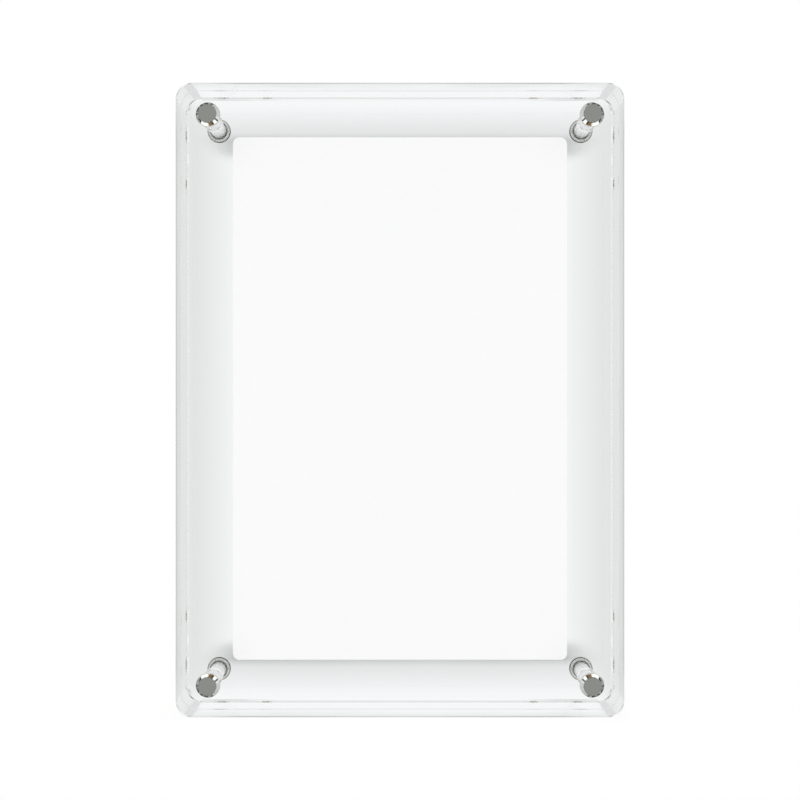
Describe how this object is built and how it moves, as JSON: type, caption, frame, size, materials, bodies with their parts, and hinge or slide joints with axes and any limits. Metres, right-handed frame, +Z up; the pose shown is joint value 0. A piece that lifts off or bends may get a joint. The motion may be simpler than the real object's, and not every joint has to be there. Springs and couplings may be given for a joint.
{
  "type": "magnetic block photo frame",
  "caption": "Free-standing block photo frame: thick clear panels clamp a blank card, held together at the corners by magnetic studs with polished chamfered caps.",
  "frame": {"origin": "middle of the underside, halfway between the block's outer faces, on the surface that it stands on", "axes": "+Z up along the long side, +X to the viewer's right along the short side, -Y out of the front face towards the viewer"},
  "size_m": [0.1484, 0.0352, 0.21],
  "materials": {
    "cast_acrylic": "polished",
    "photo_card": "matte",
    "chromed_brass": "polished",
    "nickel_magnet": "satin"
  },
  "bodies": {
    "rear": {"rear_panel": "cast_acrylic", "rear_cap_top_left": "chromed_brass", "rear_cap_top_right": "chromed_brass", "rear_cap_bottom_left": "chromed_brass", "rear_cap_bottom_right": "chromed_brass", "rear_magnet_top_left": "nickel_magnet", "rear_magnet_top_right": "nickel_magnet", "rear_magnet_bottom_left": "nickel_magnet", "rear_magnet_bottom_right": "nickel_magnet"},
    "front": {"front_panel": "cast_acrylic", "front_cap_top_left": "chromed_brass", "front_cap_top_right": "chromed_brass", "front_cap_bottom_left": "chromed_brass", "front_cap_bottom_right": "chromed_brass", "front_magnet_top_left": "nickel_magnet", "front_magnet_top_right": "nickel_magnet", "front_magnet_bottom_left": "nickel_magnet", "front_magnet_bottom_right": "nickel_magnet"},
    "card": {"insert_card": "photo_card"}
  },
  "joints": [
    {"name": "front_panel_pull", "type": "slide", "parent": "rear", "child": "front", "axis": [0, -1, 0], "range_m": [0, 0.05], "stiffness_N_per_m": 20, "springref_m": -0.4},
    {"name": "card_lift", "type": "slide", "parent": "rear", "child": "card", "axis": [0, -1, 0], "range_m": [0, 0.025]}
  ],
  "couplings": [
    {"joint": "card_lift", "follows": "front_panel_pull", "ratio": 0.5}
  ]
}
